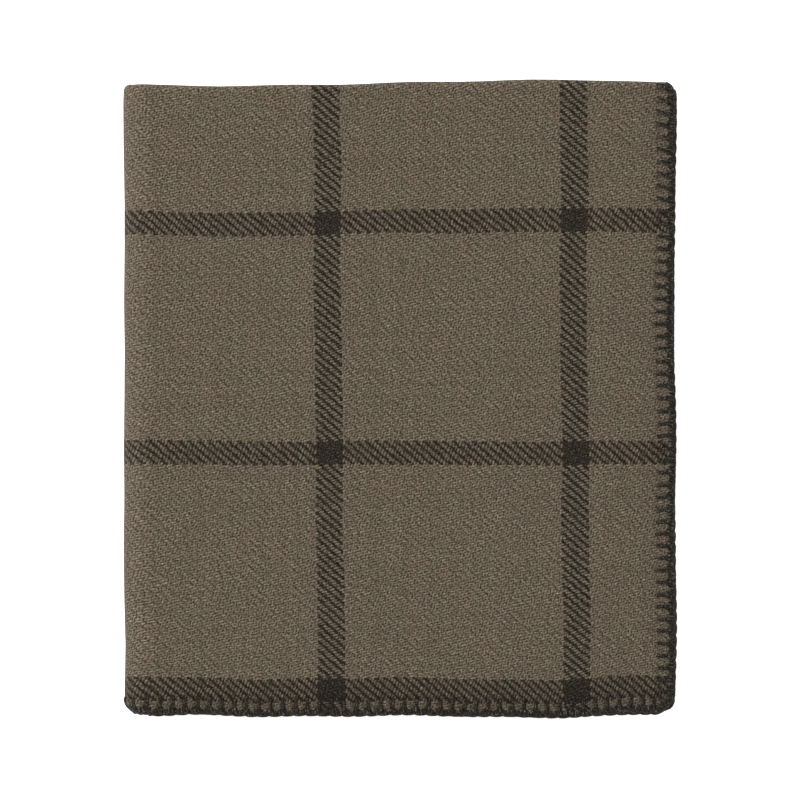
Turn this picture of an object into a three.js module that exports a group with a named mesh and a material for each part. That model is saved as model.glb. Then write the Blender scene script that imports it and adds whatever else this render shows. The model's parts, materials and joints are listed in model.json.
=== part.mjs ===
// Camp blanket: one rectangular woven wool throw with a blanket-stitched hem all round,
// folded twice along its length and then twice across its width into a flat bundle.
//
// X is the bundle's width, Y its length and Z its height. The origin is the middle of its underside.
//
// The cloth is followed as a real folded cloth is. Its length is folded in four, which makes a
// block of four plies. That block runs across the bundle four times: top leaf, round the outer
// left fold to the bottom leaf, round the right fold to the second leaf, round the inner left
// fold to the third leaf. The third and top leaves open together, like the cover of a book.

import * as THREE from 'three';

// Driving dimensions, in millimetres.
const FOLDED_WIDTH = 331;
const FOLDED_LENGTH = 380;
const PLY_PITCH = 2.2;
const CLEARANCE = 0.3;
const PLIES_IN_BLOCK = 4;
const BLOCKS = 4;
const STITCH_EDGE = 3;
const INNER_FOLD_SETBACK = 2;
const PLY_ARC_STEPS = 6;
const ROLL_STEPS = 12;

// Worked out from the driving dimensions.
const CLOTH_THICKNESS = PLY_PITCH - CLEARANCE;
const PLIES = PLIES_IN_BLOCK * BLOCKS;
const STACK_HEIGHT = (PLIES - 1) * PLY_PITCH + CLOTH_THICKNESS;
const MIDDLE_HEIGHT = STACK_HEIGHT / 2;
const BLOCK_PITCH = PLIES_IN_BLOCK * PLY_PITCH;
const HALF_BLOCK = ((PLIES_IN_BLOCK - 1) * PLY_PITCH + CLOTH_THICKNESS) / 2;

// Heights of the blocks' middles, from the bottom leaf up.
const LEAF_HEIGHTS = [-1.5, -0.5, 0.5, 1.5].map((count) => MIDDLE_HEIGHT + count * BLOCK_PITCH);
const [BOTTOM_HEIGHT, SECOND_HEIGHT, THIRD_HEIGHT, TOP_HEIGHT] = LEAF_HEIGHTS;

// Across the bundle: where the flat leaves start and stop.
const LEFT_ROLL_X = -FOLDED_WIDTH / 2 + MIDDLE_HEIGHT;
const RIGHT_EDGE_X = FOLDED_WIDTH / 2;
const HEM_X = RIGHT_EDGE_X - STITCH_EDGE - CLEARANCE;
const OUTER_ROLL_RADIUS = 1.5 * BLOCK_PITCH;
const INNER_ROLL_RADIUS = 0.5 * BLOCK_PITCH;
const RIGHT_ROLL_X = RIGHT_EDGE_X - INNER_FOLD_SETBACK - INNER_ROLL_RADIUS - HALF_BLOCK;

// Along the bundle: where the plies of a block turn.
const BACK_ROLL_Y = FOLDED_LENGTH / 2 - HALF_BLOCK;
const FRONT_EDGE_Y = -FOLDED_LENGTH / 2;
const HEM_Y = FRONT_EDGE_Y + STITCH_EDGE + CLEARANCE;
const FRONT_ROLL_Y = FRONT_EDGE_Y + INNER_FOLD_SETBACK + (PLY_PITCH + CLOTH_THICKNESS) / 2;

const wool = new THREE.MeshStandardMaterial({ color: 0x655b4d, roughness: 0.95, metalness: 0 });
const yarn = new THREE.MeshStandardMaterial({ color: 0x35322c, roughness: 0.9, metalness: 0 });

const blanket = new THREE.Group();

// Points along a half circle of a ply's middle line, each with the direction of the ply's face.
function plyTurn(centreY, centreHeight, radius, startAngle, sweep) {
  const points = [];
  for (let step = 0; step <= PLY_ARC_STEPS; step += 1) {
    const angle = startAngle + (sweep * step) / PLY_ARC_STEPS;
    const outY = Math.cos(angle);
    const outHeight = Math.sin(angle);
    const side = Math.sign(sweep);
    points.push({
      y: centreY + radius * outY,
      height: centreHeight + radius * outHeight,
      faceY: side * outY,
      faceHeight: side * outHeight,
    });
  }
  return points;
}

// The middle line of one block, seen end on: hem, back fold, front fold, inner back fold, hem.
function blockCentreline() {
  const up = Math.PI / 2;
  const outerLevel = 1.5 * PLY_PITCH;
  const innerLevel = 0.5 * PLY_PITCH;
  return [
    { y: HEM_Y, height: outerLevel, faceY: 0, faceHeight: -1 },
    ...plyTurn(BACK_ROLL_Y, 0, outerLevel, up, -Math.PI),
    ...plyTurn(FRONT_ROLL_Y, -PLY_PITCH, innerLevel, -up, -Math.PI),
    ...plyTurn(BACK_ROLL_Y, 0, innerLevel, -up, Math.PI),
    { y: HEM_Y, height: innerLevel, faceY: 0, faceHeight: 1 },
  ];
}

// The block's cloth as a closed outline: one face of the ply out, the other face back.
function blockOutline() {
  const centreline = blockCentreline();
  const half = CLOTH_THICKNESS / 2;
  const offset = (point, distance) => new THREE.Vector2(
    point.y + distance * point.faceY,
    point.height + distance * point.faceHeight,
  );
  const outward = centreline.map((point) => offset(point, half));
  const back = centreline.map((point) => offset(point, -half)).reverse();
  return [...outward, ...back];
}

// The stitched edge of one ply: a bar just in front of the ply's cut edge.
function stitchOutline(height) {
  const half = CLOTH_THICKNESS / 2;
  const backY = FRONT_EDGE_Y + STITCH_EDGE;
  return [
    new THREE.Vector2(FRONT_EDGE_Y, height - half),
    new THREE.Vector2(backY, height - half),
    new THREE.Vector2(backY, height + half),
    new THREE.Vector2(FRONT_EDGE_Y, height + half),
  ];
}

// A half circle in the XZ plane, from its top to its bottom, bulging to -X or to +X.
class FoldPath extends THREE.Curve {
  constructor(centreX, centreHeight, radius, side) {
    super();
    this.centreX = centreX;
    this.centreHeight = centreHeight;
    this.radius = radius;
    this.side = side;
  }

  getPoint(share, target = new THREE.Vector3()) {
    const angle = Math.PI * share;
    return target.set(
      this.centreX + this.side * this.radius * Math.sin(angle),
      0,
      this.centreHeight + this.radius * Math.cos(angle),
    );
  }

  getTangent(share, target = new THREE.Vector3()) {
    const angle = Math.PI * share;
    return target.set(this.side * Math.cos(angle), 0, -Math.sin(angle));
  }
}

// Sweeps an outline, given as (Y, height over the block's middle), along a path that starts
// along X. side is the way the path starts: -1 to the left, 1 to the right. flip turns the
// outline upside down. The extrusion's own axes are then down and side times Y.
function sweepOutline(outline, path, steps, side, flip) {
  const turn = flip ? -1 : 1;
  const shape = new THREE.Shape(outline.map(
    (point) => new THREE.Vector2(-turn * point.y, side * point.x),
  ));
  return new THREE.ExtrudeGeometry(shape, { extrudePath: path, steps, bevelEnabled: false });
}

function addPiece(name, geometry, material) {
  const mesh = new THREE.Mesh(geometry, material);
  mesh.name = name;
  blanket.add(mesh);
}

// A flat run of an outline from startX to endX, which is on its left.
function addRun(name, outline, startX, endX, height, flip, material) {
  const path = new THREE.LineCurve3(
    new THREE.Vector3(startX, 0, height),
    new THREE.Vector3(endX, 0, height),
  );
  addPiece(name, sweepOutline(outline, path, 1, -1, flip), material);
}

// A run of an outline round a fold. It starts at the fold's top.
function addFold(name, outline, fold, flip, material) {
  const path = new FoldPath(fold.x, fold.height, fold.radius, fold.side);
  addPiece(name, sweepOutline(outline, path, ROLL_STEPS, fold.side, flip), material);
}

const outerLeftFold = { x: LEFT_ROLL_X, height: MIDDLE_HEIGHT, radius: OUTER_ROLL_RADIUS, side: -1 };
const innerLeftFold = { x: LEFT_ROLL_X, height: MIDDLE_HEIGHT, radius: INNER_ROLL_RADIUS, side: -1 };
const rightFold = {
  x: RIGHT_ROLL_X,
  height: (BOTTOM_HEIGHT + SECOND_HEIGHT) / 2,
  radius: INNER_ROLL_RADIUS,
  side: 1,
};

// The leaves start half a clearance from the folds that they run into.
const LEAF_LEFT_X = LEFT_ROLL_X + CLEARANCE / 2;
const LEAF_RIGHT_X = RIGHT_ROLL_X - CLEARANCE / 2;
const leafRuns = [
  { leaf: 'top', startX: HEM_X, height: TOP_HEIGHT, flip: false },
  { leaf: 'third', startX: HEM_X, height: THIRD_HEIGHT, flip: true },
  { leaf: 'second', startX: LEAF_RIGHT_X, height: SECOND_HEIGHT, flip: false },
  { leaf: 'bottom', startX: LEAF_RIGHT_X, height: BOTTOM_HEIGHT, flip: true },
];

// The cloth: four leaves and the three folds that join them.
const cloth = blockOutline();
for (const { leaf, startX, height, flip } of leafRuns) {
  addRun(`cloth_${leaf}_leaf`, cloth, startX, LEAF_LEFT_X, height, flip, wool);
}
addFold('cloth_outer_left_fold', cloth, outerLeftFold, false, wool);
addFold('cloth_inner_left_fold', cloth, innerLeftFold, true, wool);
addFold('cloth_right_fold', cloth, rightFold, false, wool);

// The stitched side hems: the block's section again, just past the cloth's cut ends.
const sideHemStartX = RIGHT_EDGE_X;
const sideHemEndX = RIGHT_EDGE_X - STITCH_EDGE;
addRun('side_hem_stitching_top', cloth, sideHemStartX, sideHemEndX, TOP_HEIGHT, false, yarn);
addRun('side_hem_stitching_third', cloth, sideHemStartX, sideHemEndX, THIRD_HEIGHT, true, yarn);

// The stitched end hems lie along the front, on a block's outer ply and on the one inside it.
const endHems = [
  { hem: 'head', level: 1.5 * PLY_PITCH },
  { hem: 'foot', level: 0.5 * PLY_PITCH },
];
for (const { hem, level } of endHems) {
  const stitching = stitchOutline(level);
  for (const { leaf, startX, height, flip } of leafRuns) {
    addRun(`${hem}_hem_stitching_${leaf}`, stitching, startX, LEAF_LEFT_X, height, flip, yarn);
  }
  addFold(`${hem}_hem_stitching_outer_left_fold`, stitching, outerLeftFold, false, yarn);
  addFold(`${hem}_hem_stitching_inner_left_fold`, stitching, innerLeftFold, true, yarn);
  addFold(`${hem}_hem_stitching_right_fold`, stitching, rightFold, false, yarn);
}

export default blanket;
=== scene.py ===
"""Camp blanket: a woven wool throw with a windowpane check and blanket-stitched hems, folded flat.

The whole cloth is one sheet. A point of it is known by its flat place: across, from the side hem
that ends on top, and along, from the end hem at the front. fold() takes such a point to its place
in the folded bundle, and settle() gives the bundle the unevenness of cloth folded by hand. The
hem yarn is laid stitch by stitch on the flat cloth and is folded with it.
"""

import json
import math

import bpy
import numpy as np
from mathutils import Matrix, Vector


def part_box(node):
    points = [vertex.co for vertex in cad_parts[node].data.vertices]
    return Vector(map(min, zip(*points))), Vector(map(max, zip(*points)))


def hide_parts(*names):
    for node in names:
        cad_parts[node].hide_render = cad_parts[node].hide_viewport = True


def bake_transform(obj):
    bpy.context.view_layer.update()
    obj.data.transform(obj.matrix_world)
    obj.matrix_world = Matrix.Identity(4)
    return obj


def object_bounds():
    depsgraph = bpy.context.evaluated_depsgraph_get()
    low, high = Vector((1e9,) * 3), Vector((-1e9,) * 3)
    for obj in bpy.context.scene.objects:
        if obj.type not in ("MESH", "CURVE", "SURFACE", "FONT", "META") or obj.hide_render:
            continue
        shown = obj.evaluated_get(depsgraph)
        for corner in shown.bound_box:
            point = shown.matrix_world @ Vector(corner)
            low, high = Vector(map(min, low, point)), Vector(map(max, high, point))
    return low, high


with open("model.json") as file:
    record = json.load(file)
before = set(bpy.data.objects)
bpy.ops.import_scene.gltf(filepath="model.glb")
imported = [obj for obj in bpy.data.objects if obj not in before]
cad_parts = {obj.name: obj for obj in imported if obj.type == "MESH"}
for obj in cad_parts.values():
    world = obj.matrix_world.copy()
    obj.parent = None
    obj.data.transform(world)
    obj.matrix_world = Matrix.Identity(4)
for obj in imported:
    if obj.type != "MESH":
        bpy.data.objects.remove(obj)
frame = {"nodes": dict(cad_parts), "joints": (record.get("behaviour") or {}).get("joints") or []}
cad_low, cad_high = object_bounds()

MM = 0.001


# ---------------------------------------------------------------------------------------------
# Camera: straight above, with a long lens.
# ---------------------------------------------------------------------------------------------

CAMERA_HEIGHT = 3.0
VIEW_WIDTH = 480 * MM
SENSOR_WIDTH = 36.0


def make_camera():
    data = bpy.data.cameras.new("camera")
    data.sensor_width = SENSOR_WIDTH
    data.lens = SENSOR_WIDTH * (CAMERA_HEIGHT - cad_high.z) / VIEW_WIDTH
    camera = bpy.data.objects.new("camera", data)
    camera.location = (0, 0, CAMERA_HEIGHT)
    bpy.context.scene.collection.objects.link(camera)
    bpy.context.scene.camera = camera


make_camera()


# ---------------------------------------------------------------------------------------------
# Sizes, from the frame.
# ---------------------------------------------------------------------------------------------

leaf_low, leaf_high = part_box("cloth_top_leaf")
leaf_height = leaf_high.z - leaf_low.z
STACK_HEIGHT = cad_high.z
PLY_PITCH = (STACK_HEIGHT - leaf_height) / 12
CLOTH_THICKNESS = leaf_height - 3 * PLY_PITCH
HALF_CLOTH = CLOTH_THICKNESS / 2
MIDDLE_Z = STACK_HEIGHT / 2
BLOCK_PITCH = 4 * PLY_PITCH

# The cloth's cut edges lie a little inside the outline, because the yarn goes round them.
EDGE_INSET = 1.4 * MM
HEM_X = cad_high.x - EDGE_INSET
HEM_Y = cad_low.y + EDGE_INSET
LEFT_ROLL_X = frame["joints"][0]["pos_m"][0]
RIGHT_ROLL_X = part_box("cloth_right_fold")[0].x
BACK_ROLL_Y = leaf_high.y - leaf_height / 2
FRONT_ROLL_Y = leaf_low.y + (PLY_PITCH + CLOTH_THICKNESS) / 2


class FoldedLine:
    """Straight runs and half turns in a plane, followed by the distance along them.

    heading is the way the line starts, and face is square to it: the side that the upper face of
    what follows the line looks to. A turn has side 1 if it closes over that face, and -1 if that
    face is on its outside.
    """

    def __init__(self, start, heading, face, stretches):
        self.starts = []
        self.stretches = []
        point, heading, face = (np.array(each, float) for each in (start, heading, face))
        distance = 0.0
        for kind, size, side in stretches:
            self.starts.append(distance)
            self.stretches.append((kind, size, side, point, heading, face))
            if kind == "run":
                point = point + heading * size
                distance += size
            else:
                point = point + 2 * side * size * face
                heading, face = -heading, -face
                distance += math.pi * size
        self.length = distance

    def at(self, distance):
        """The points at these distances, and the way the face looks there."""
        which = np.clip(np.searchsorted(self.starts, distance, side="right") - 1, 0, None)
        points = np.zeros((len(distance), 2))
        faces = np.zeros((len(distance), 2))
        for number, (kind, size, side, point, heading, face) in enumerate(self.stretches):
            here = which == number
            gone = (distance[here] - self.starts[number])[:, None]
            if kind == "run":
                points[here] = point + heading * gone
                faces[here] = face
            else:
                cosine, sine = np.cos(gone / size), np.sin(gone / size)
                centre = point + side * size * face
                points[here] = centre - side * size * face * cosine + size * heading * sine
                faces[here] = face * cosine - side * heading * sine
        return points, faces

    def turned(self, number, distance):
        """How much of stretch number has gone by at these distances, from 0 to 1."""
        kind, size = self.stretches[number][:2]
        length = size if kind == "run" else math.pi * size
        return np.clip((distance - self.starts[number]) / length, 0, 1)


# Along the cloth, seen from the side: (Y, height over the middle of a block of four plies).
FIRST_BACK_TURN = 1
along_line = FoldedLine(
    start=(HEM_Y, 1.5 * PLY_PITCH),
    heading=(1, 0),
    face=(0, 1),
    stretches=[
        ("run", BACK_ROLL_Y - HEM_Y, 0),
        ("turn", 1.5 * PLY_PITCH, -1),
        ("run", BACK_ROLL_Y - FRONT_ROLL_Y, 0),
        ("turn", 0.5 * PLY_PITCH, -1),
        ("run", BACK_ROLL_Y - FRONT_ROLL_Y, 0),
        ("turn", 0.5 * PLY_PITCH, 1),
        ("run", BACK_ROLL_Y - HEM_Y, 0),
    ],
)

# Across the cloth, seen from the front: (X, Z) of the block's middle.
OUTER_LEFT_TURN, INNER_LEFT_TURN = 1, 5
across_line = FoldedLine(
    start=(HEM_X, MIDDLE_Z + 1.5 * BLOCK_PITCH),
    heading=(-1, 0),
    face=(0, 1),
    stretches=[
        ("run", HEM_X - LEFT_ROLL_X, 0),
        ("turn", 1.5 * BLOCK_PITCH, -1),
        ("run", RIGHT_ROLL_X - LEFT_ROLL_X, 0),
        ("turn", 0.5 * BLOCK_PITCH, -1),
        ("run", RIGHT_ROLL_X - LEFT_ROLL_X, 0),
        ("turn", 0.5 * BLOCK_PITCH, 1),
        ("run", HEM_X - LEFT_ROLL_X, 0),
    ],
)

CLOTH_WIDTH = across_line.length
CLOTH_LENGTH = along_line.length


# ---------------------------------------------------------------------------------------------
# Folding: flat place to place in the bundle.
# ---------------------------------------------------------------------------------------------


def smooth(value):
    """0 up to 0, 1 from 1 on, and an even rise between."""
    share = np.clip(value, 0, 1)
    return share * share * (3 - 2 * share)


def bump(value, centre, width):
    """A rounded rise of height 1 about centre."""
    return np.exp(-(((value - centre) / width) ** 2))


def round_off(x, y, sign_x, sign_y, radius):
    """Draws one square corner of the bundle in to a round one, all its plies alike."""
    from_side = cad_high.x - sign_x * x
    from_end = cad_high.y - sign_y * y
    here = (from_side < radius) & (from_end < radius)
    a = 1 - from_side[here] / radius
    b = 1 - from_end[here] / radius
    x[here] = sign_x * (cad_high.x - radius * (1 - a * np.sqrt(1 - b * b / 2)))
    y[here] = sign_y * (cad_high.y - radius * (1 - b * np.sqrt(1 - a * a / 2)))


CORNER_RADII = {(-1, 1): 2 * MM, (1, 1): 7.5 * MM, (-1, -1): 11.5 * MM, (1, -1): 10.5 * MM}


def settle(points):
    """The slack of real folding: uneven edges, soft corners, and a surface that isn't flat."""
    x, y, z = points.T.copy()
    half_width, half_length = cad_high.x, cad_high.y
    for (sign_x, sign_y), radius in CORNER_RADII.items():
        round_off(x, y, sign_x, sign_y, radius)
    to_back = smooth((y + 20 * MM) / half_length)
    to_front = smooth((-y - 20 * MM) / half_length)
    to_left = smooth((-x - 30 * MM) / (half_width - 30 * MM))
    to_right = smooth((x - 30 * MM) / (half_width - 30 * MM))
    level = z / STACK_HEIGHT

    # The folds along the back wander in and out, each ply on its own.
    back = 1.8 * np.sin(2 * math.pi * x / (430 * MM)) + 0.7
    back += 1.1 * bump(x, -165 * MM, 14 * MM) - 1.3 * bump(x, 158 * MM, 26 * MM)
    back += 0.35 * np.sin(2 * math.pi * (x / (74 * MM) + 1.3 * level))
    front = 0.9 * bump(x, 82 * MM, 40 * MM) - 2.2 * bump(x, 140 * MM, 26 * MM)
    front -= 0.7 * bump(x, -108 * MM, 45 * MM) - 0.4
    front += 0.7 * np.sin(2 * math.pi * (x / (190 * MM) + 1.7 * level))
    front += 0.4 * np.sin(2 * math.pi * (x / (61 * MM) - 2.3 * level))
    shift_y = back * to_back - front * to_front

    left = 0.5 * bump(y, -150 * MM, 40 * MM) - 0.9 - 0.9 * bump(y, 175 * MM, 22 * MM)
    left -= 0.4 * bump(y, -84 * MM, 50 * MM)
    left += 0.25 * np.sin(2 * math.pi * (y / (83 * MM)))
    right = 0.5 * bump(y, 175 * MM, 55 * MM) - 0.7 * bump(y, 45 * MM, 50 * MM)
    right += 0.4 * bump(y, -120 * MM, 60 * MM) + 0.3
    right += 0.45 * np.sin(2 * math.pi * (y / (150 * MM) + 1.4 * level))
    shift_x = left * to_left + right * to_right

    # The check isn't dead square: its long lines lean a little.
    shift_x -= 1.9 * (y / half_length) * (1 - (x / half_width) ** 2)

    # The upper half lies in slow waves, and the lower half lies flat.
    wave = 0.5 * np.sin(2 * math.pi * (x / (230 * MM) + y / (410 * MM)))
    wave += 0.35 * np.sin(2 * math.pi * (y / (170 * MM) - x / (520 * MM)) + 1.0)
    shift_z = wave * np.clip((z - MIDDLE_Z) / MIDDLE_Z - 0.15, 0, 1)

    # The stitches press the stack down towards its two hemmed sides.
    at_side = smooth((x / half_width - 0.87) / 0.13)
    at_front = smooth((-y / half_length - 0.88) / 0.12) * smooth((x + half_width) / (80 * MM))
    pressed = np.maximum(at_side, at_front)
    shift_z -= 2.2 * pressed * level
    return np.stack([x + MM * shift_x, y + MM * shift_y, z + MM * shift_z], axis=1)


def fold(across, along, out):
    """Places in the bundle of flat points, out from the cloth's middle towards its upper face."""
    middles, ups = across_line.at(across)
    plies, faces = along_line.at(along)
    height = plies[:, 1] + out * faces[:, 1]
    x = middles[:, 0] + ups[:, 0] * height
    y = plies[:, 0] + out * faces[:, 0]
    z = middles[:, 1] + ups[:, 1] * height
    return settle(np.stack([x, y, z], axis=1))


def on_show(across, along):
    """1 where the cloth's upper face is the outside of the bundle, 0 where it lies under a ply."""
    still_on_top = 1 - smooth(across_line.turned(OUTER_LEFT_TURN, across) * 1.6 - 0.6)
    before_back_fold = 1 - smooth(along_line.turned(FIRST_BACK_TURN, along) * 2)
    return still_on_top * before_back_fold


# ---------------------------------------------------------------------------------------------
# The hem: where its stitches are, on the flat cloth.
# ---------------------------------------------------------------------------------------------

HEM_BAND = 12 * MM
SIDE_STITCH_PITCH = 7.4 * MM
END_STITCH_PITCH = 7.2 * MM
STITCH_DEPTH = 9.6 * MM
LINES_PER_STITCH = 6
CORNER_STITCHES = 2


def stitch_count(side_length):
    pitch = END_STITCH_PITCH if side_length == CLOTH_WIDTH else SIDE_STITCH_PITCH
    return round((side_length - 2 * HEM_BAND) / pitch)


def hem_wander(distance, phase):
    """How far a hem strays inwards, along its length."""
    slow = 0.4 * np.sin(distance / (47 * MM) + phase)
    quick = 0.2 * np.sin(distance / (17 * MM) + 2.1 * phase)
    return MM * (slow + quick)


def pull_hems(across, along):
    """The flat cloth with its hems as they really run: never quite straight."""
    near_top_hem = np.exp(-((across / (25 * MM)) ** 2))
    near_last_hem = np.exp(-(((CLOTH_WIDTH - across) / (25 * MM)) ** 2))
    near_head = np.exp(-((along / (25 * MM)) ** 2))
    near_foot = np.exp(-(((CLOTH_LENGTH - along) / (25 * MM)) ** 2))
    pulled_across = across + near_top_hem * hem_wander(along, 0.4)
    pulled_across -= near_last_hem * hem_wander(along, 2.7)
    pulled_along = along + near_head * hem_wander(across, 1.1)
    pulled_along -= near_foot * hem_wander(across, 4.0)
    return pulled_across, pulled_along


def round_corners(across, along):
    """Draws the four square corners of the flat cloth in to round ones."""
    new_across, new_along = across.copy(), along.copy()
    for far_across in (False, True):
        for far_along in (False, True):
            from_side = CLOTH_WIDTH - across if far_across else across
            from_end = CLOTH_LENGTH - along if far_along else along
            here = (from_side < HEM_BAND) & (from_end < HEM_BAND)
            a = 1 - from_side[here] / HEM_BAND
            b = 1 - from_end[here] / HEM_BAND
            side = HEM_BAND * (1 - a * np.sqrt(1 - b * b / 2))
            end = HEM_BAND * (1 - b * np.sqrt(1 - a * a / 2))
            new_across[here] = CLOTH_WIDTH - side if far_across else side
            new_along[here] = CLOTH_LENGTH - end if far_along else end
    return new_across, new_along


def stitch_relief(depth, distance, side_length):
    """In a hem's band: how much the cloth rises between stitches, and how much it is drawn in."""
    pitch = (side_length - 2 * HEM_BAND) / stitch_count(side_length)
    turn = 2 * math.pi * (distance - HEM_BAND) / pitch
    along_side = smooth((distance - 5 * MM) / (8 * MM))
    along_side = along_side * smooth((side_length - distance - 5 * MM) / (8 * MM))
    pillow = smooth((depth - 0.8 * MM) / (3 * MM)) * (1 - smooth((depth - 6.6 * MM) / (3.8 * MM)))
    at_stitch = (0.5 + 0.5 * np.cos(turn)) ** 3
    rise = (0.5 - 0.5 * np.cos(turn)) ** 0.7 * pillow * along_side
    stitched = smooth(depth / MM) * (1 - smooth((depth - 10 * MM) / (1.6 * MM)))
    groove = bump(depth, 10 * MM, 1.5 * MM)
    dip = np.maximum(at_stitch * stitched, groove * (0.35 + 0.65 * at_stitch)) * along_side
    return rise, dip


def hem_relief(across, along):
    """Rise and dip of the cloth's faces by all four hems, and its thinning towards its edges."""
    rise, dip = np.zeros(len(across)), np.zeros(len(across))
    edge = np.ones(len(across))
    for depth, distance, length in (
        (across, along, CLOTH_LENGTH),
        (CLOTH_WIDTH - across, along, CLOTH_LENGTH),
        (along, across, CLOTH_WIDTH),
        (CLOTH_LENGTH - along, across, CLOTH_WIDTH),
    ):
        side_rise, side_dip = stitch_relief(depth, distance, length)
        rise, dip = np.maximum(rise, side_rise), np.maximum(dip, side_dip)
        edge = np.minimum(edge, 0.5 + 0.5 * smooth(depth / (3 * MM)))
    return rise, dip, edge


def cloth_half_thickness(relief, shown):
    """Half the cloth's thickness: thin at its edges, and puffed between the stitches."""
    rise, dip, edge = relief
    return HALF_CLOTH * edge + MM * (rise * (0.1 + 0.95 * shown) - dip * (0.3 + 0.25 * shown))


# ---------------------------------------------------------------------------------------------
# The cloth: one closed sheet, fine along its hems and folds and coarse on its flats.
# ---------------------------------------------------------------------------------------------

LINES_PER_PLY_TURN = 9
FLAT_STEP_ACROSS = 12
FLAT_STEP_ALONG = 24


def grid_lines(line, length, flat_step):
    """Grid lines along one way of the cloth: all of them, and which ones cross the whole cloth."""
    count = stitch_count(length) * LINES_PER_STITCH
    hem_steps = np.array([0, 1.3, 3.0, 5.4, 8.0, 10.0]) * MM
    inner = HEM_BAND + (length - 2 * HEM_BAND) * np.arange(count + 1) / count
    turns = []
    for number, (kind, size, *_) in enumerate(line.stretches):
        if kind == "turn":
            start = line.starts[number]
            turns.append((start, start + math.pi * size))
    keep = np.ones(len(inner), bool)
    folds = []
    for start, end in turns:
        keep &= (inner < start - 0.6 * MM) | (inner > end + 0.6 * MM)
        steps = max(LINES_PER_PLY_TURN, round((end - start) / (1.6 * MM)))
        folds.append(np.linspace(start, end, steps + 1))
    through = np.zeros(len(inner), bool)
    through[::flat_step] = True
    through[-1] = True
    for start, end in turns:
        through |= (inner > start - 3 * MM) & (inner < end + 3 * MM)
    lines = [*hem_steps, *inner[keep], *(length - hem_steps), *np.concatenate(folds)]
    whole = [*np.ones(len(hem_steps), bool), *through[keep], *np.ones(len(hem_steps), bool)]
    whole += [True] * sum(len(each) for each in folds)
    order = np.argsort(lines)
    return np.array(lines)[order], np.array(whole)[order]


class SheetCells:
    """Collects the cells of a sheet between numbered grid lines, and the corners they use."""

    def __init__(self):
        self.number = {}
        self.polygons = []

    def corner(self, i, j):
        return self.number.setdefault((i, j), len(self.number))

    def add(self, i0, i1, j0, j1, fine=()):
        """One cell. Its sides named in fine have a corner at every grid line that meets them."""
        steps_i = range(i0, i1) if "j0" in fine else (i0,)
        steps_j = range(j0, j1) if "i1" in fine else (j0,)
        back_i = range(i1, i0, -1) if "j1" in fine else (i1,)
        back_j = range(j1, j0, -1) if "i0" in fine else (j1,)
        ring = [(i, j0) for i in steps_i] + [(i1, j) for j in steps_j]
        ring += [(i, j1) for i in back_i] + [(i0, j) for j in back_j]
        self.polygons.append([self.corner(i, j) for i, j in ring])


def band_end(lines, length):
    """Numbers of the two grid lines where the hem bands end."""
    first = int(np.argmin(np.abs(lines - HEM_BAND)))
    last = int(np.argmin(np.abs(lines - (length - HEM_BAND))))
    return first, last


def sheet_cells():
    """The grid of the whole cloth: lines across and along, and its cells."""
    across_lines, across_whole = grid_lines(across_line, CLOTH_WIDTH, FLAT_STEP_ACROSS)
    along_lines, along_whole = grid_lines(along_line, CLOTH_LENGTH, FLAT_STEP_ALONG)
    first_i, last_i = band_end(across_lines, CLOTH_WIDTH)
    first_j, last_j = band_end(along_lines, CLOTH_LENGTH)
    end_i, end_j = len(across_lines) - 1, len(along_lines) - 1
    cells = SheetCells()
    for i in [*range(first_i), *range(last_i, end_i)]:
        for j in range(end_j):
            cells.add(i, i + 1, j, j + 1)
    for i in range(first_i, last_i):
        for j in [*range(first_j), *range(last_j, end_j)]:
            cells.add(i, i + 1, j, j + 1)
    whole_i = [i for i in range(first_i, last_i + 1) if across_whole[i] or i in (first_i, last_i)]
    whole_j = [j for j in range(first_j, last_j + 1) if along_whole[j] or j in (first_j, last_j)]
    for i0, i1 in zip(whole_i, whole_i[1:]):
        for j0, j1 in zip(whole_j, whole_j[1:]):
            sides = {"i0": i0 == first_i, "i1": i1 == last_i}
            sides.update({"j0": j0 == first_j, "j1": j1 == last_j})
            cells.add(i0, i1, j0, j1, [side for side, fine in sides.items() if fine])
    return across_lines, along_lines, cells


def rim_edges(polygons):
    """Edges that only one polygon has, each in that polygon's own direction."""
    edges = set()
    for ring in polygons:
        for a, b in zip(ring, ring[1:] + ring[:1]):
            if (b, a) in edges:
                edges.remove((b, a))
            else:
                edges.add((a, b))
    return sorted(edges)


def new_mesh(name, points, polygons, uvs):
    """A mesh object from its points and polygons, with a UV for every point."""
    mesh = bpy.data.meshes.new(name)
    mesh.from_pydata(points.tolist(), [], polygons)
    corner_points = np.zeros(len(mesh.loops), np.int32)
    mesh.loops.foreach_get("vertex_index", corner_points)
    layer = mesh.uv_layers.new(name="flat")
    layer.data.foreach_set("uv", uvs[corner_points].astype(np.float32).ravel())
    mesh.polygons.foreach_set("use_smooth", np.ones(len(mesh.polygons), bool))
    mesh.update()
    piece = bpy.data.objects.new(name, mesh)
    bpy.context.scene.collection.objects.link(piece)
    return piece


def point_attribute(piece, name, values):
    attribute = piece.data.attributes.new(name, "FLOAT", "POINT")
    attribute.data.foreach_set("value", np.asarray(values, np.float32))


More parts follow.
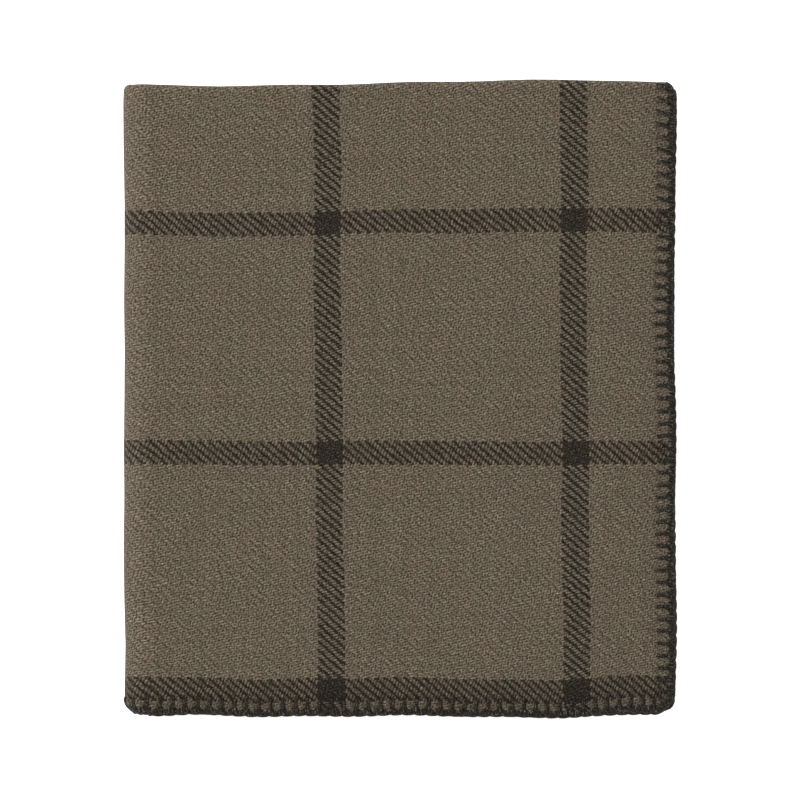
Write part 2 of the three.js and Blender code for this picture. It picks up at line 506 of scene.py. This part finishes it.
def make_cloth():
    across_lines, along_lines, cells = sheet_cells()
    grid = np.array(list(cells.number))
    square_across, square_along = across_lines[grid[:, 0]], along_lines[grid[:, 1]]
    flat_across, flat_along = round_corners(square_across, square_along)
    across, along = pull_hems(flat_across, flat_along)
    relief = hem_relief(flat_across, flat_along)
    shown = on_show(flat_across, flat_along)
    upper = fold(across, along, cloth_half_thickness(relief, shown))
    lower = fold(across, along, -cloth_half_thickness(relief, 0 * shown))

    count = len(grid)
    polygons = [ring[::-1] for ring in cells.polygons]
    polygons += [[corner + count for corner in ring] for ring in cells.polygons]
    polygons += [[a, b, b + count, a + count] for a, b in rim_edges(cells.polygons)]
    flat = np.stack([flat_across, flat_along], axis=1)
    piece = new_mesh("wool_cloth", np.concatenate([upper, lower]), polygons, np.tile(flat, (2, 1)))
    point_attribute(piece, "face_side", np.repeat([1.0, -1.0], count))
    # How far the hem draws the cloth in, kept as the mask for painted shade in the cloth's colour.
    point_attribute(piece, "drawn_in", np.tile(relief[1], 2))
    return piece, np.tile(flat_across, 2)


# ---------------------------------------------------------------------------------------------
# The hem yarn: a spoke over the edge at every stitch, and a slanting link to the next one.
# ---------------------------------------------------------------------------------------------

YARN_SIDES = 6
YARN_HALF_WIDTH = 1.15 * MM
YARN_RIDGES_PER_METRE = 620.0
LINK_HALF_WIDTH = 2.95 * MM
LINK_DEPTH = 2.1 * MM


class HemSide:
    """One side of the cloth: turns (distance along it, depth from its edge) to flat places.

    Distance 0 is the middle of the corner where the side starts, and depth is inwards. A side is
    mirrored if distance, depth and the way out of the cloth make a left-handed set there.
    """

    def __init__(self, name, length, place, mirrored):
        self.name = name
        self.length = length
        self.place = place
        self.mirrored = mirrored
        self.stitches = stitch_count(length)
        self.pitch = (length - 2 * HEM_BAND) / self.stitches

    def flat(self, distance, depth):
        """Flat places, with the two ends of the side bent round half a corner each."""
        arc = HEM_BAND * math.pi / 4
        run = self.length - 2 * HEM_BAND
        before = np.clip(arc - distance, 0, None)
        after = np.clip(distance - arc - run, 0, None)
        angle = (after - before) / HEM_BAND
        straight = np.clip(distance - arc, 0, run)
        radius = HEM_BAND - depth
        along_side = HEM_BAND + straight + radius * np.sin(angle)
        into_cloth = HEM_BAND - radius * np.cos(angle)
        return self.place(along_side, into_cloth)

    def positions(self):
        """Distances of the stitches: even on the straight, and shared out round the corners."""
        arc = HEM_BAND * math.pi / 4
        straight = arc + self.pitch * np.arange(self.stitches + 1)
        corner = arc * (np.arange(CORNER_STITCHES) + 0.5) / (CORNER_STITCHES + 0.5)
        end = 2 * arc + self.pitch * self.stitches
        return np.concatenate([corner[:-1], straight, end - corner[:-1][::-1]])


def tube(centres, wide, tall, half_wide, half_tall):
    """Points and faces of one closed tube through centres, in a stitch's own directions.

    centres are (distance, depth, out). wide and tall are unit directions at each centre.
    """
    angles = 2 * math.pi * np.arange(YARN_SIDES) / YARN_SIDES - math.pi / 3
    ring = np.cos(angles)[None, :, None] * wide[:, None] * half_wide[:, None, None]
    ring = ring + np.sin(angles)[None, :, None] * tall[:, None] * half_tall[:, None, None]
    points = (centres[:, None] + ring).reshape(-1, 3)
    faces = []
    for step in range(len(centres) - 1):
        for side in range(YARN_SIDES):
            a = step * YARN_SIDES + side
            b = step * YARN_SIDES + (side + 1) % YARN_SIDES
            faces.append([a, b, b + YARN_SIDES, a + YARN_SIDES])
    faces.append(list(range(YARN_SIDES))[::-1])
    last = (len(centres) - 1) * YARN_SIDES
    faces.append([last + side for side in range(YARN_SIDES)])
    return points, faces


def unit(vectors):
    return vectors / np.linalg.norm(vectors, axis=1, keepdims=True)


def spoke(depth, lean, shown):
    """One stitch's loop: out of the cloth, over its upper face, round the edge and back below."""
    upper = 0.72 + 0.18 * shown
    path = np.array([
        (depth + 0.5, 0.0),
        (depth - 0.1, upper - 0.2),
        (depth * 0.72, upper + 0.06),
        (depth * 0.42, upper + 0.06),
        (1.6, upper - 0.05),
        (-0.1, 0.4),
        (-0.1, -0.5),
        (1.6, -0.72),
        (depth * 0.5, -0.8),
        (depth - 0.2, -0.7),
        (depth + 0.5, 0.0),
    ]) * MM
    lean_here = lean * np.clip(path[:, 0] / (depth * MM), 0, 1)
    centres = np.stack([lean_here, path[:, 0], path[:, 1]], axis=1)
    along = unit(np.gradient(centres, axis=0))
    wide = np.tile([1.0, 0.0, 0.0], (len(path), 1))
    tall = unit(np.cross(along, wide))
    half_wide = YARN_HALF_WIDTH * np.array([0.5, 0.9, 1, 1, 1, 0.9, 0.9, 1, 1, 0.85, 0.5])
    half_tall = MM * np.array([0.3, 0.5, 0.5, 0.5, 0.5, 0.5, 0.5, 0.42, 0.4, 0.4, 0.3])
    half_tall[:5] *= 1 + 0.35 * shown
    return tube(centres, wide, tall, half_wide, half_tall), centres


def link(pitch, shown):
    """The yarn along the rim from one stitch to the next: a fat slanting bead."""
    share = np.linspace(0, 1, 8)
    distance = pitch * (-0.24 + 1.5 * share)
    slant = np.cos(math.pi * share)
    depth = LINK_DEPTH + 0.5 * MM * slant
    out = MM * (0.35 * slant + 0.65 * shown)
    centres = np.stack([distance, depth, out], axis=1)
    along = unit(np.gradient(centres, axis=0))
    wide = unit(np.cross(np.tile([0.0, 0.0, 1.0], (len(share), 1)), along))
    tall = unit(np.cross(along, wide))
    swell = 0.6 + 0.4 * np.sin(math.pi * share) ** 0.6
    half_tall = (1.0 + 0.25 * shown) * MM * swell
    return tube(centres, wide, tall, LINK_HALF_WIDTH * swell, half_tall), centres


def yarn_uv(centres):
    """Along the yarn in metres, and round it from 0 to 1, for every point of a tube."""
    run = np.concatenate([[0], np.cumsum(np.linalg.norm(np.diff(centres, axis=0), axis=1))])
    around = np.arange(YARN_SIDES) / YARN_SIDES
    return np.stack(np.meshgrid(run, around, indexing="ij"), axis=-1).reshape(-1, 2)


def hem_lean(side, distance):
    """How far the inner ends of the stitches lean along the hem."""
    slow = 0.9 * np.sin(distance / (90 * MM)) * np.sin(distance / (37 * MM) + 1.0)
    if side.name != "top_side_hem":
        return MM * slow
    return MM * (slow + 2.2 * smooth((distance - 210 * MM) / (110 * MM)))


def make_hem(side, seed):
    """All the stitches of one side of the cloth, as one piece."""
    random = np.random.default_rng(seed)
    distances = side.positions()
    gaps = np.append(np.diff(distances), side.pitch)
    leans = hem_lean(side, distances)
    points, polygons, uvs = [], [], []
    total = 0
    for number, distance in enumerate(distances):
        here, depth_here = side.flat(np.array([distance]), np.array([0.0]))
        shown = float(on_show(here, depth_here)[0])
        jitter = random.normal(0, 1, 4)
        in_corner = distance < HEM_BAND or distance > distances[-1] + distances[0] - HEM_BAND
        depth = STITCH_DEPTH / MM * (1 + 0.05 * jitter[0]) * (0.92 if in_corner else 1)
        lean = leans[number] + 0.35 * MM * jitter[1]
        shapes = [spoke(depth, lean, shown), link(gaps[number], shown)]
        offset = distance + 0.22 * MM * jitter[2]
        for (shape, faces), centres in shapes:
            placed = shape + np.array([offset, 0, 0])
            points.append(placed)
            turn = -1 if side.mirrored else 1
            polygons += [[corner + total for corner in face][::turn] for face in faces]
            uv = yarn_uv(centres)
            uv[:, 0] += 0.05 * (number % 20) + 0.01 * jitter[3]
            uvs.append(uv)
            total += len(shape)
    placed = np.concatenate(points)
    flat_across, flat_along = side.flat(placed[:, 0], placed[:, 1])
    across, along = pull_hems(flat_across, flat_along)
    folded = fold(across, along, placed[:, 2])
    piece = new_mesh(side.name, folded, polygons, np.concatenate(uvs))
    return piece, flat_across


hem_sides = [
    HemSide("head_hem", CLOTH_WIDTH, lambda s, d: (s, d), True),
    HemSide("foot_hem", CLOTH_WIDTH, lambda s, d: (s, CLOTH_LENGTH - d), False),
    HemSide("top_side_hem", CLOTH_LENGTH, lambda s, d: (d, s), False),
    HemSide("third_side_hem", CLOTH_LENGTH, lambda s, d: (CLOTH_WIDTH - d, s), True),
]


# ---------------------------------------------------------------------------------------------
# Materials.
# ---------------------------------------------------------------------------------------------


class NodeTree:
    """Adds nodes to a material or group with one short call each."""

    def __init__(self, tree):
        self.tree = tree

    def node(self, kind, inputs=None, **settings):
        node = self.tree.nodes.new(kind)
        for name, value in settings.items():
            setattr(node, name, value)
        for name, value in (inputs or {}).items():
            self.feed(node.inputs[name], value)
        return node

    def feed(self, socket, value):
        if isinstance(value, bpy.types.NodeSocket):
            self.tree.links.new(value, socket)
        else:
            socket.default_value = value

    def math(self, operation, *values, clamp=False):
        node = self.tree.nodes.new("ShaderNodeMath")
        node.operation = operation
        node.use_clamp = clamp
        for socket, value in zip(node.inputs, values):
            self.feed(socket, value)
        return node.outputs[0]

    def mix(self, factor, first, second, blend="MIX"):
        node = self.tree.nodes.new("ShaderNodeMix")
        node.data_type = "RGBA"
        node.blend_type = blend
        self.feed(node.inputs["Factor"], factor)
        self.feed(node.inputs[6], first)
        self.feed(node.inputs[7], second)
        return node.outputs[2]

    def noise(self, vector, scale, detail=2.0, **inputs):
        values = {"Vector": vector, "Scale": scale, "Detail": detail, **inputs}
        return self.node("ShaderNodeTexNoise", values).outputs["Fac"]

    def remap(self, value, low, high, to_low, to_high):
        names = {"Value": value, "From Min": low, "From Max": high}
        names.update({"To Min": to_low, "To Max": to_high})
        return self.node("ShaderNodeMapRange", names).outputs[0]


def new_group(name, inputs, outputs):
    """An empty shader group with these sockets, given as (name, kind) pairs."""
    tree = bpy.data.node_groups.new(name, "ShaderNodeTree")
    for direction, sockets in (("INPUT", inputs), ("OUTPUT", outputs)):
        for socket_name, kind in sockets:
            socket_type = f"NodeSocket{kind}"
            tree.interface.new_socket(socket_name, in_out=direction, socket_type=socket_type)
    build = NodeTree(tree)
    entry = tree.nodes.new("NodeGroupInput")
    leave = tree.nodes.new("NodeGroupOutput")
    return build, entry.outputs, leave.inputs


END_PITCH = 1.46 * MM
PICK_PITCH = 1.28 * MM
# How far a float leans over its length, in yarns.
FLOAT_SLANT = 0.65
# A clump of brushed hairs: its width and its length.
CLUMP_SIZE = (0.85 * MM, 1.4 * MM, 1.0)


def twill_group():
    """2/2 twill: which yarn is on top, how high it stands, and the numbers of the two yarns."""
    build, given, result = new_group(
        "twill_weave",
        [("Flat", "Vector"), ("Side", "Float")],
        [("Warp On Top", "Float"), ("Height", "Float"), ("Slub", "Float")]
        + [("End", "Float"), ("Pick", "Float")],
    )
    wander = build.noise(given["Flat"], 290.0, 1.0)
    wander = build.remap(wander, 0.0, 1.0, -0.55, 0.55)
    drift = build.noise(given["Flat"], 14.0, 1.0)
    drift = build.remap(drift, 0.0, 1.0, -1.4, 1.4)
    parts = build.node("ShaderNodeSeparateXYZ", {"Vector": given["Flat"]}).outputs
    across = build.math("DIVIDE", parts["X"], END_PITCH)
    across = build.math("ADD", across, build.math("ADD", wander, drift))
    along = build.math("DIVIDE", parts["Y"], PICK_PITCH)
    along = build.math("SUBTRACT", along, build.math("SUBTRACT", wander, drift))
    end, pick = build.math("FLOOR", across), build.math("FLOOR", along)
    in_end, in_pick = build.math("FRACT", across), build.math("FRACT", along)

    # Over two and under two, one step along at every pick.
    step = build.math("FLOORED_MODULO", build.math("SUBTRACT", end, pick), 4.0)
    front_warp = build.math("LESS_THAN", step, 1.5)
    on_back = build.math("LESS_THAN", given["Side"], 0.0)
    warp_on_top = build.math("ABSOLUTE", build.math("SUBTRACT", front_warp, on_back))

    # Each float is a rounded bar two yarns long.
    second = build.math("FLOORED_MODULO", step, 2.0)
    warp_gone = build.math("ADD", build.math("SUBTRACT", 1.0, second), in_pick)
    warp_run = build.math("DIVIDE", warp_gone, 2.0)
    weft_run = build.math("DIVIDE", build.math("ADD", second, in_end), 2.0)

    # No two floats are alike: some are thicker and lighter than others.
    weft_start = build.math("SUBTRACT", end, second)
    warp_start = build.math("SUBTRACT", build.math("ADD", pick, second), 0.5)
    weft_name = build.node("ShaderNodeCombineXYZ", {"X": weft_start, "Y": pick}).outputs[0]
    warp_name = build.node("ShaderNodeCombineXYZ", {"X": end, "Y": warp_start}).outputs[0]
    name = build.node("ShaderNodeMix", {"Factor": warp_on_top}, data_type="VECTOR")
    build.feed(name.inputs[4], weft_name)
    build.feed(name.inputs[5], warp_name)
    slub = build.node("ShaderNodeTexWhiteNoise", {"Vector": name.outputs[1]}, noise_dimensions="2D")
    build.feed(result["Slub"], slub.outputs["Value"])

    def bar(width, run):
        # The floats slant against the twill line.
        slant = build.math("MULTIPLY", build.math("SUBTRACT", run, 0.5), FLOAT_SLANT)
        width = build.math("ADD", width, slant, clamp=True)
        round_across = build.math("SINE", build.math("MULTIPLY", width, math.pi))
        round_along = build.math("SINE", build.math("MULTIPLY", run, math.pi))
        round_across = build.math("POWER", round_across, 0.35)
        return build.math("MULTIPLY", round_across, build.math("POWER", round_along, 0.12))

    warp_bar, weft_bar = bar(in_end, warp_run), bar(in_pick, weft_run)
    warp_part = build.math("MULTIPLY", warp_bar, build.math("MULTIPLY", warp_on_top, 0.8))
    weft_part = build.math("MULTIPLY", weft_bar, build.math("SUBTRACT", 1.0, warp_on_top))
    build.feed(result["Warp On Top"], warp_on_top)
    build.feed(result["Height"], build.math("ADD", warp_part, weft_part))
    build.feed(result["End"], end)
    build.feed(result["Pick"], pick)
    return build.tree


def heather_group():
    """Blended wool fibre: light and dark hairs, soft patches, and the nap that they raise."""
    build, given, result = new_group(
        "heather_wool",
        [("Vector", "Vector"), ("Colour", "Color")]
        + [("Light Hair", "Color"), ("Dark Hair", "Color")],
        [("Colour", "Color"), ("Nap", "Float")],
    )
    hairs = build.noise(given["Vector"], 900.0, 3.0, Roughness=0.65)
    # The nap is brushed, so the hairs lie in short slanting clumps.
    brushed = build.node(
        "ShaderNodeMapping",
        {"Vector": given["Vector"], "Rotation": (0, 0, math.pi / 4), "Scale": CLUMP_SIZE},
        vector_type="TEXTURE",
    )
    clumps = build.noise(brushed.outputs[0], 1.0, 0.0)
    patches = build.noise(given["Vector"], 55.0, 3.0)
    tint = build.noise(given["Vector"], 75.0, 1.0, Distortion=0.6)
    light = build.remap(hairs, 0.52, 0.72, 0.0, 0.75)
    dark = build.remap(clumps, 0.45, 0.25, 0.0, 0.5)
    colour = build.mix(light, given["Colour"], given["Light Hair"])
    colour = build.mix(dark, colour, given["Dark Hair"])
    shade = build.remap(patches, 0.3, 0.7, 0.975, 1.025)
    shade = build.math("MULTIPLY", shade, build.remap(clumps, 0.25, 0.75, 0.5, 1.5))

    # The fleece was dyed in lots that differ: some patches are redder, and some greener.
    red = build.math("MULTIPLY", shade, build.remap(tint, 0.3, 0.7, 0.97, 1.03))
    green = build.math("MULTIPLY", shade, build.remap(tint, 0.3, 0.7, 1.015, 0.985))
    lot = build.node("ShaderNodeCombineColor", {"Red": red, "Green": green, "Blue": shade})
    build.feed(result["Colour"], build.mix(1.0, colour, lot.outputs[0], "MULTIPLY"))
    build.feed(result["Nap"], build.math("ADD", hairs, build.math("MULTIPLY", clumps, 0.8)))
    return build.tree


def new_material(name):
    material = bpy.data.materials.new(name)
    material.use_nodes = True
    material.node_tree.nodes.clear()
    build = NodeTree(material.node_tree)
    output = build.node("ShaderNodeOutputMaterial")
    shader = build.node("ShaderNodeBsdfPrincipled")
    build.feed(output.inputs["Surface"], shader.outputs["BSDF"])
    return material, build, shader


def linear(red, green, blue):
    """A colour as seen on a screen, from 0 to 255, in the shader's linear values."""
    def one(value):
        share = value / 255
        return share / 12.92 if share <= 0.04045 else ((share + 0.055) / 1.055) ** 2.4
    return (one(red), one(green), one(blue), 1.0)


WARP_BROWN = linear(84, 74, 62)
WEFT_BROWN = linear(91, 82, 68)
LIGHT_HAIR = linear(125, 119, 108)
DARK_HAIR = linear(55, 44, 30)
CHARCOAL = linear(34, 29, 22)
CHARCOAL_LIGHT_HAIR = linear(90, 86, 79)
CHARCOAL_DARK_HAIR = linear(12, 9, 6)
HEM_YARN = linear(31, 27, 22)
HEM_LIGHT_HAIR = linear(112, 106, 97)
HEM_DARK_HAIR = linear(9, 8, 6)

# The windowpane: lines of charcoal yarn, by their distance from the hem and from each other.
END_LINE_FIRST, END_LINE_SPACING, END_LINE_WIDTH = 58.6 * MM, 147.9 * MM, 16.3 * MM
PICK_LINE_FIRST, PICK_LINE_SPACING, PICK_LINE_WIDTH = 15.2 * MM, 140.4 * MM, 14.5 * MM
FIRST_DARK_PICK = 6
PICK_LINE_UNEVEN = 1.25 * MM


def line_mask(build, number, pitch, first, spacing, width, uneven=0.0):
    """1 on the yarns that belong to a charcoal line. Every second line is off by uneven."""
    place = build.math("MULTIPLY", build.math("ADD", number, 0.5), pitch)
    swing = build.math("COSINE", build.math("MULTIPLY", place, math.pi / spacing))
    place = build.math("ADD", place, build.math("MULTIPLY", swing, uneven))
    shifted = build.math("ADD", build.math("SUBTRACT", place, first), spacing / 2)
    away = build.math("SUBTRACT", build.math("FLOORED_MODULO", shifted, spacing), spacing / 2)
    return build.math("LESS_THAN", build.math("ABSOLUTE", away), width / 2)


def painted_hem_shade(build, flat):
    """Painted shade by the hems: a little less than 1 near them, and darkest by the two end hems.
    """
    parts = build.node("ShaderNodeSeparateXYZ", {"Vector": flat}).outputs
    half_width, half_length = CLOTH_WIDTH / 2, CLOTH_LENGTH / 2
    aside = build.math("ABSOLUTE", build.math("SUBTRACT", parts["X"], half_width))
    ahead = build.math("ABSOLUTE", build.math("SUBTRACT", parts["Y"], half_length))
    from_side = build.math("SUBTRACT", half_width, aside)
    from_end = build.math("SUBTRACT", half_length, ahead)
    by_side = build.remap(from_side, 10 * MM, 13 * MM, 0.86, 1.0)
    by_end = build.remap(from_end, 11 * MM, 24 * MM, 0.82, 1.0)
    by_stitches = build.remap(from_end, 8 * MM, 11 * MM, 0.9, 1.0)
    return build.math("MULTIPLY", by_side, build.math("MULTIPLY", by_end, by_stitches))


def cloth_material(weave_group, wool_group):
    material, build, shader = new_material("wool_cloth")
    flat = build.node("ShaderNodeUVMap", uv_map="flat").outputs[0]
    side = build.node("ShaderNodeAttribute", attribute_name="face_side").outputs["Fac"]
    weave = build.node("ShaderNodeGroup", node_tree=weave_group)
    build.feed(weave.inputs["Flat"], flat)
    build.feed(weave.inputs["Side"], side)
    end, pick = weave.outputs["End"], weave.outputs["Pick"]
    height, warp_on_top = weave.outputs["Height"], weave.outputs["Warp On Top"]

    end_lines = (END_LINE_FIRST, END_LINE_SPACING, END_LINE_WIDTH)
    pick_lines = (PICK_LINE_FIRST, PICK_LINE_SPACING, PICK_LINE_WIDTH)
    end_line = line_mask(build, end, END_PITCH, *end_lines)
    pick_line = line_mask(build, pick, PICK_PITCH, *pick_lines, uneven=PICK_LINE_UNEVEN)
    # The cloth begins with brown picks, which the hem stitches draw up.
    begun = build.math("GREATER_THAN", pick, FIRST_DARK_PICK - 0.5)
    pick_line = build.math("MULTIPLY", pick_line, begun)
    charcoal = build.math(
        "ADD",
        build.math("MULTIPLY", warp_on_top, end_line),
        build.math("MULTIPLY", build.math("SUBTRACT", 1.0, warp_on_top), pick_line),
    )
    # Charcoal hairs cover part of the brown floats between them.
    in_end_line = build.math("MULTIPLY", end_line, 0.21)
    in_pick_line = build.math("MULTIPLY", pick_line, 0.04)
    in_line = build.math("MAXIMUM", in_end_line, in_pick_line)
    charcoal = build.math("MAXIMUM", charcoal, in_line)
    brown = build.mix(warp_on_top, WEFT_BROWN, WARP_BROWN)

    # Every yarn is dyed and spun a little differently from the next.
    end_shade = build.node("ShaderNodeTexWhiteNoise", {"W": end}, noise_dimensions="1D")
    pick_shade = build.node("ShaderNodeTexWhiteNoise", {"W": pick}, noise_dimensions="1D")
    shade = build.math("ADD", end_shade.outputs["Value"], pick_shade.outputs["Value"])
    shade = build.remap(shade, 0.0, 2.0, 0.92, 1.08)
    slub = build.remap(weave.outputs["Slub"], 0.0, 1.0, 0.9, 1.1)
    shade = build.math("MULTIPLY", shade, slub)

    wool = build.node("ShaderNodeGroup", node_tree=wool_group)
    build.feed(wool.inputs["Vector"], flat)
    build.feed(wool.inputs["Colour"], build.mix(charcoal, brown, CHARCOAL))
    build.feed(wool.inputs["Light Hair"], build.mix(charcoal, LIGHT_HAIR, CHARCOAL_LIGHT_HAIR))
    build.feed(wool.inputs["Dark Hair"], build.mix(charcoal, DARK_HAIR, CHARCOAL_DARK_HAIR))

    # Painted shade and light, times each yarn's own tone: darker and warmer in the gaps between the
    # floats, lighter on their crowns.
    depth = build.math("MULTIPLY", build.remap(height, 0.0, 0.9, 0.42, 1.12), shade)
    # Painted shade where the hem draws the cloth in, at the stitches and along the groove inside
    # them.
    drawn_in = build.node("ShaderNodeAttribute", attribute_name="drawn_in").outputs["Fac"]
    depth = build.math("MULTIPLY", depth, build.remap(drawn_in, 0.2, 0.95, 1.0, 0.55))
    # Painted shade by the hems.
    depth = build.math("MULTIPLY", depth, painted_hem_shade(build, flat))
    blue = build.math("MULTIPLY", depth, build.remap(height, 0.0, 0.9, 0.74, 1.07))
    painted_shade = build.node("ShaderNodeCombineColor", {"Red": depth, "Green": depth, "Blue": blue})
    colour = build.mix(1.0, wool.outputs["Colour"], painted_shade.outputs[0], "MULTIPLY")
    build.feed(shader.inputs["Base Color"], colour)
    build.feed(shader.inputs["Roughness"], build.remap(wool.outputs["Nap"], 0.5, 1.3, 0.98, 0.82))
    shader.inputs["Specular IOR Level"].default_value = 0.06
    shader.inputs["Sheen Weight"].default_value = 0.03
    shader.inputs["Sheen Roughness"].default_value = 0.6
    relief = build.math("ADD", height, build.math("MULTIPLY", wool.outputs["Nap"], 0.35))
    bump_node = build.node(
        "ShaderNodeBump", {"Height": relief, "Strength": 1.0, "Distance": 0.4 * MM}
    )
    build.feed(shader.inputs["Normal"], bump_node.outputs[0])
    return material


def yarn_material(wool_group):
    material, build, shader = new_material("hem_yarn")
    run = build.node("ShaderNodeUVMap", uv_map="flat").outputs[0]
    parts = build.node("ShaderNodeSeparateXYZ", {"Vector": run}).outputs
    girth = build.math("MULTIPLY", parts["Y"], 2 * math.pi * YARN_HALF_WIDTH)
    place = build.node("ShaderNodeCombineXYZ", {"X": parts["X"], "Y": girth}).outputs[0]

    # Two plies twisted together: slanting ridges round the yarn.
    turns = build.math("ADD", build.math("MULTIPLY", parts["X"], YARN_RIDGES_PER_METRE), parts["Y"])
    ridge = build.math("ABSOLUTE", build.math("SINE", build.math("MULTIPLY", turns, math.pi)))
    wool = build.node("ShaderNodeGroup", node_tree=wool_group)
    build.feed(wool.inputs["Vector"], place)
    build.feed(wool.inputs["Colour"], HEM_YARN)
    build.feed(wool.inputs["Light Hair"], HEM_LIGHT_HAIR)
    build.feed(wool.inputs["Dark Hair"], HEM_DARK_HAIR)
    # Painted shade in the grooves between the plies, and a little painted light on their ridges.
    shade = build.remap(ridge, 0.0, 0.8, 0.45, 1.1)
    painted_groove_shade = build.node("ShaderNodeCombineColor", {"Red": shade, "Green": shade, "Blue": shade})
    colour = build.mix(1.0, wool.outputs["Colour"], painted_groove_shade.outputs[0], "MULTIPLY")
    build.feed(shader.inputs["Base Color"], colour)
    build.feed(shader.inputs["Roughness"], build.remap(wool.outputs["Nap"], 0.5, 1.3, 0.95, 0.75))
    shader.inputs["Specular IOR Level"].default_value = 0.08
    shader.inputs["Sheen Weight"].default_value = 0.03
    shader.inputs["Sheen Roughness"].default_value = 0.5
    relief = build.math("ADD", ridge, build.math("MULTIPLY", wool.outputs["Nap"], 0.5))
    bump_node = build.node(
        "ShaderNodeBump", {"Height": relief, "Strength": 0.8, "Distance": 0.3 * MM}
    )
    build.feed(shader.inputs["Normal"], bump_node.outputs[0])
    return material


def floor_material():
    material, build, shader = new_material("pale_floor")
    place = build.node("ShaderNodeTexCoord").outputs["Object"]
    tone = build.remap(build.noise(place, 3.0), 0.3, 0.7, 0.90, 0.92)
    colour = build.node("ShaderNodeCombineColor", {"Red": tone, "Green": tone, "Blue": tone})
    build.feed(shader.inputs["Base Color"], colour.outputs[0])
    shader.inputs["Roughness"].default_value = 0.9
    shader.inputs["Emission Color"].default_value = (1, 1, 1, 1)
    shader.inputs["Emission Strength"].default_value = 0.5
    return material


# ---------------------------------------------------------------------------------------------
# The pieces, in place of the frame's parts.
# ---------------------------------------------------------------------------------------------


def bend_with_fold(piece):
    """Bakes the piece's place into its mesh.
    """
    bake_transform(piece)


def nodes_named(word):
    return [name for name in frame["nodes"] if word in name]


weave_group = twill_group()
wool_group = heather_group()
cloth_finish = cloth_material(weave_group, wool_group)
yarn_finish = yarn_material(wool_group)

cloth, cloth_across = make_cloth()
cloth.data.materials.append(cloth_finish)
bend_with_fold(cloth)
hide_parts(*nodes_named("cloth_"))

stood_for = {
    "head_hem": nodes_named("head_hem_stitching"),
    "foot_hem": nodes_named("foot_hem_stitching"),
    "top_side_hem": ["side_hem_stitching_top"],
    "third_side_hem": ["side_hem_stitching_third"],
}
for seed, hem_side in enumerate(hem_sides):
    hem, hem_across = make_hem(hem_side, seed)
    hem.data.materials.append(yarn_finish)
    bend_with_fold(hem)
    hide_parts(*stood_for[hem_side.name])


# ---------------------------------------------------------------------------------------------
# Floor and light.
# ---------------------------------------------------------------------------------------------


def make_floor():
    bpy.ops.object.select_all(action="DESELECT")
    bpy.ops.mesh.primitive_plane_add(size=40.0, location=(0, 0, -0.3 * MM))
    floor = bpy.context.object
    floor.name = "floor"
    bpy.ops.object.transform_apply(location=True, rotation=True, scale=True)
    floor.data.materials.append(floor_material())


def make_light(name, place, size, power):
    data = bpy.data.lights.new(name, "AREA")
    data.shape = "DISK"
    data.size = size
    data.energy = power
    light = bpy.data.objects.new(name, data)
    light.location = place
    towards = -light.location
    light.rotation_euler = towards.to_track_quat("-Z", "Y").to_euler()
    bpy.context.scene.collection.objects.link(light)


def make_world(strength):
    world = bpy.data.worlds.new("studio")
    world.use_nodes = True
    background = world.node_tree.nodes["Background"]
    background.inputs["Color"].default_value = (1, 1, 1, 1)
    background.inputs["Strength"].default_value = strength
    bpy.context.scene.world = world


make_floor()
make_light("key_light", (-2.6, 1.0, 2.0), 1.3, 88)
make_light("top_light", (-0.1, 0.4, 2.7), 1.4, 18)
make_world(0.9)
bpy.context.scene.view_settings.view_transform = "Standard"
